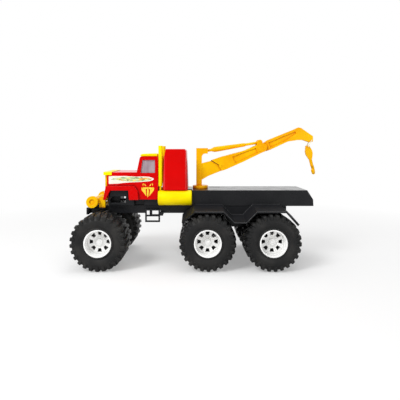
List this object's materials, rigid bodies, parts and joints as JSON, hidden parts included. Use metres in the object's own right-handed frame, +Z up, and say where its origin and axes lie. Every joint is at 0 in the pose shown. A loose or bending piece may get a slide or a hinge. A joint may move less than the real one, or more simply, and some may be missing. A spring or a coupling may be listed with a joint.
{
  "type": "toy tow truck",
  "caption": "Toy monster tow truck with a hooded cab, sleeper box, flat deck, swivelling crane with a folding jib and hook, and big lugged wheels",
  "frame": {"origin": "Centre of the bounding box in plan, on the floor under the wheels", "axes": "+Z up, the truck faces -Y, +X is its left side"},
  "size_m": [0.165, 0.3984, 0.2231],
  "materials": {
    "black_plastic": "moulded, half gloss",
    "red_plastic": "moulded, glossy",
    "lemon_plastic": "moulded, half gloss",
    "amber_plastic": "moulded, half gloss",
    "wheel_plastic": "moulded, satin",
    "lamp_plastic": "moulded, glossy",
    "window_plastic": "clear tinted moulding",
    "tyre_rubber": "matt soft plastic",
    "axle_steel": "drawn rod",
    "line_plastic": "moulded"
  },
  "bodies": {
    "truck": {"chassis_frame": "black_plastic", "front_skid_plate": "black_plastic", "front_axle_carrier": "black_plastic", "rear_axle_carrier": "black_plastic", "front_axle": "axle_steel", "middle_axle": "axle_steel", "rear_axle": "axle_steel", "inner_block": "black_plastic", "cab_floor": "black_plastic", "cab_shell": "red_plastic", "cab_windows": "window_plastic", "grille": "lemon_plastic", "headlights": "lamp_plastic", "front_bumper": "amber_plastic", "bumper_brackets": "amber_plastic", "roof_visor": "lemon_plastic", "exhaust_stack_left": "lemon_plastic", "exhaust_stack_right": "lemon_plastic", "fuel_tank_left": "lemon_plastic", "fuel_tank_right": "lemon_plastic", "sleeper_box": "red_plastic", "deck": "black_plastic", "rear_fender_left": "black_plastic", "rear_fender_right": "black_plastic", "side_step_left": "black_plastic", "side_step_right": "black_plastic"},
    "front_left_wheel": {"wheel_front_left": "wheel_plastic", "tyre_front_left": "tyre_rubber"},
    "front_right_wheel": {"wheel_front_right": "wheel_plastic", "tyre_front_right": "tyre_rubber"},
    "middle_left_wheel": {"wheel_middle_left": "wheel_plastic", "tyre_middle_left": "tyre_rubber"},
    "middle_right_wheel": {"wheel_middle_right": "wheel_plastic", "tyre_middle_right": "tyre_rubber"},
    "rear_left_wheel": {"wheel_rear_left": "wheel_plastic", "tyre_rear_left": "tyre_rubber"},
    "rear_right_wheel": {"wheel_rear_right": "wheel_plastic", "tyre_rear_right": "tyre_rubber"},
    "crane": {"crane_post": "amber_plastic", "boom_pin": "amber_plastic", "cylinder_pin": "amber_plastic"},
    "boom_arm": {"boom": "amber_plastic", "knuckle_pin": "amber_plastic", "rod_pin": "amber_plastic"},
    "jib_arm": {"jib": "amber_plastic"},
    "hook_set": {"hook_line": "line_plastic", "hook": "amber_plastic"},
    "barrel": {"cylinder_barrel": "amber_plastic"},
    "rod": {"cylinder_rod": "amber_plastic"}
  },
  "joints": [
    {"name": "front_left_wheel_spin", "type": "hinge", "parent": "truck", "child": "front_left_wheel", "pos_m": [0.0555, -0.15567, 0.0435], "axis": [1, 0, 0], "continuous": true},
    {"name": "front_right_wheel_spin", "type": "hinge", "parent": "truck", "child": "front_right_wheel", "pos_m": [-0.0555, -0.15567, 0.0435], "axis": [1, 0, 0], "continuous": true},
    {"name": "middle_left_wheel_spin", "type": "hinge", "parent": "truck", "child": "middle_left_wheel", "pos_m": [0.0555, 0.01033, 0.0435], "axis": [1, 0, 0], "continuous": true},
    {"name": "middle_right_wheel_spin", "type": "hinge", "parent": "truck", "child": "middle_right_wheel", "pos_m": [-0.0555, 0.01033, 0.0435], "axis": [1, 0, 0], "continuous": true},
    {"name": "rear_left_wheel_spin", "type": "hinge", "parent": "truck", "child": "rear_left_wheel", "pos_m": [0.0555, 0.10933, 0.0435], "axis": [1, 0, 0], "continuous": true},
    {"name": "rear_right_wheel_spin", "type": "hinge", "parent": "truck", "child": "rear_right_wheel", "pos_m": [-0.0555, 0.10933, 0.0435], "axis": [1, 0, 0], "continuous": true},
    {"name": "crane_swivel", "type": "hinge", "parent": "truck", "child": "crane", "pos_m": [0, 0.00023, 0.1188], "axis": [0, 0, 1], "range_deg": [-95, 95]},
    {"name": "boom_lift", "type": "hinge", "parent": "crane", "child": "boom_arm", "pos_m": [0, 0.03683, 0.157], "axis": [1, 0, 0], "range_deg": [-5, 25]},
    {"name": "jib_fold", "type": "hinge", "parent": "boom_arm", "child": "jib_arm", "pos_m": [0, 0.10587, 0.18876], "axis": [1, 0, 0], "range_deg": [-5, 20]},
    {"name": "hook_swing", "type": "hinge", "parent": "jib_arm", "child": "hook_set", "pos_m": [0, 0.19003, 0.20073], "axis": [1, 0, 0], "range_deg": [-45, 60]},
    {"name": "barrel_tilt", "type": "hinge", "parent": "crane", "child": "barrel", "pos_m": [0, 0.00963, 0.183], "axis": [1, 0, 0], "range_deg": [-4.5, 20.5]},
    {"name": "rod_slide", "type": "slide", "parent": "barrel", "child": "rod", "axis": [0, 0.9879, 0.1553], "range_m": [-0.015, 0.0035]}
  ],
  "couplings": [
    {"joint": "barrel_tilt", "follows": "boom_lift", "ratio": 0.79},
    {"joint": "rod_slide", "follows": "boom_lift", "m_per_rad": -0.0325}
  ]
}
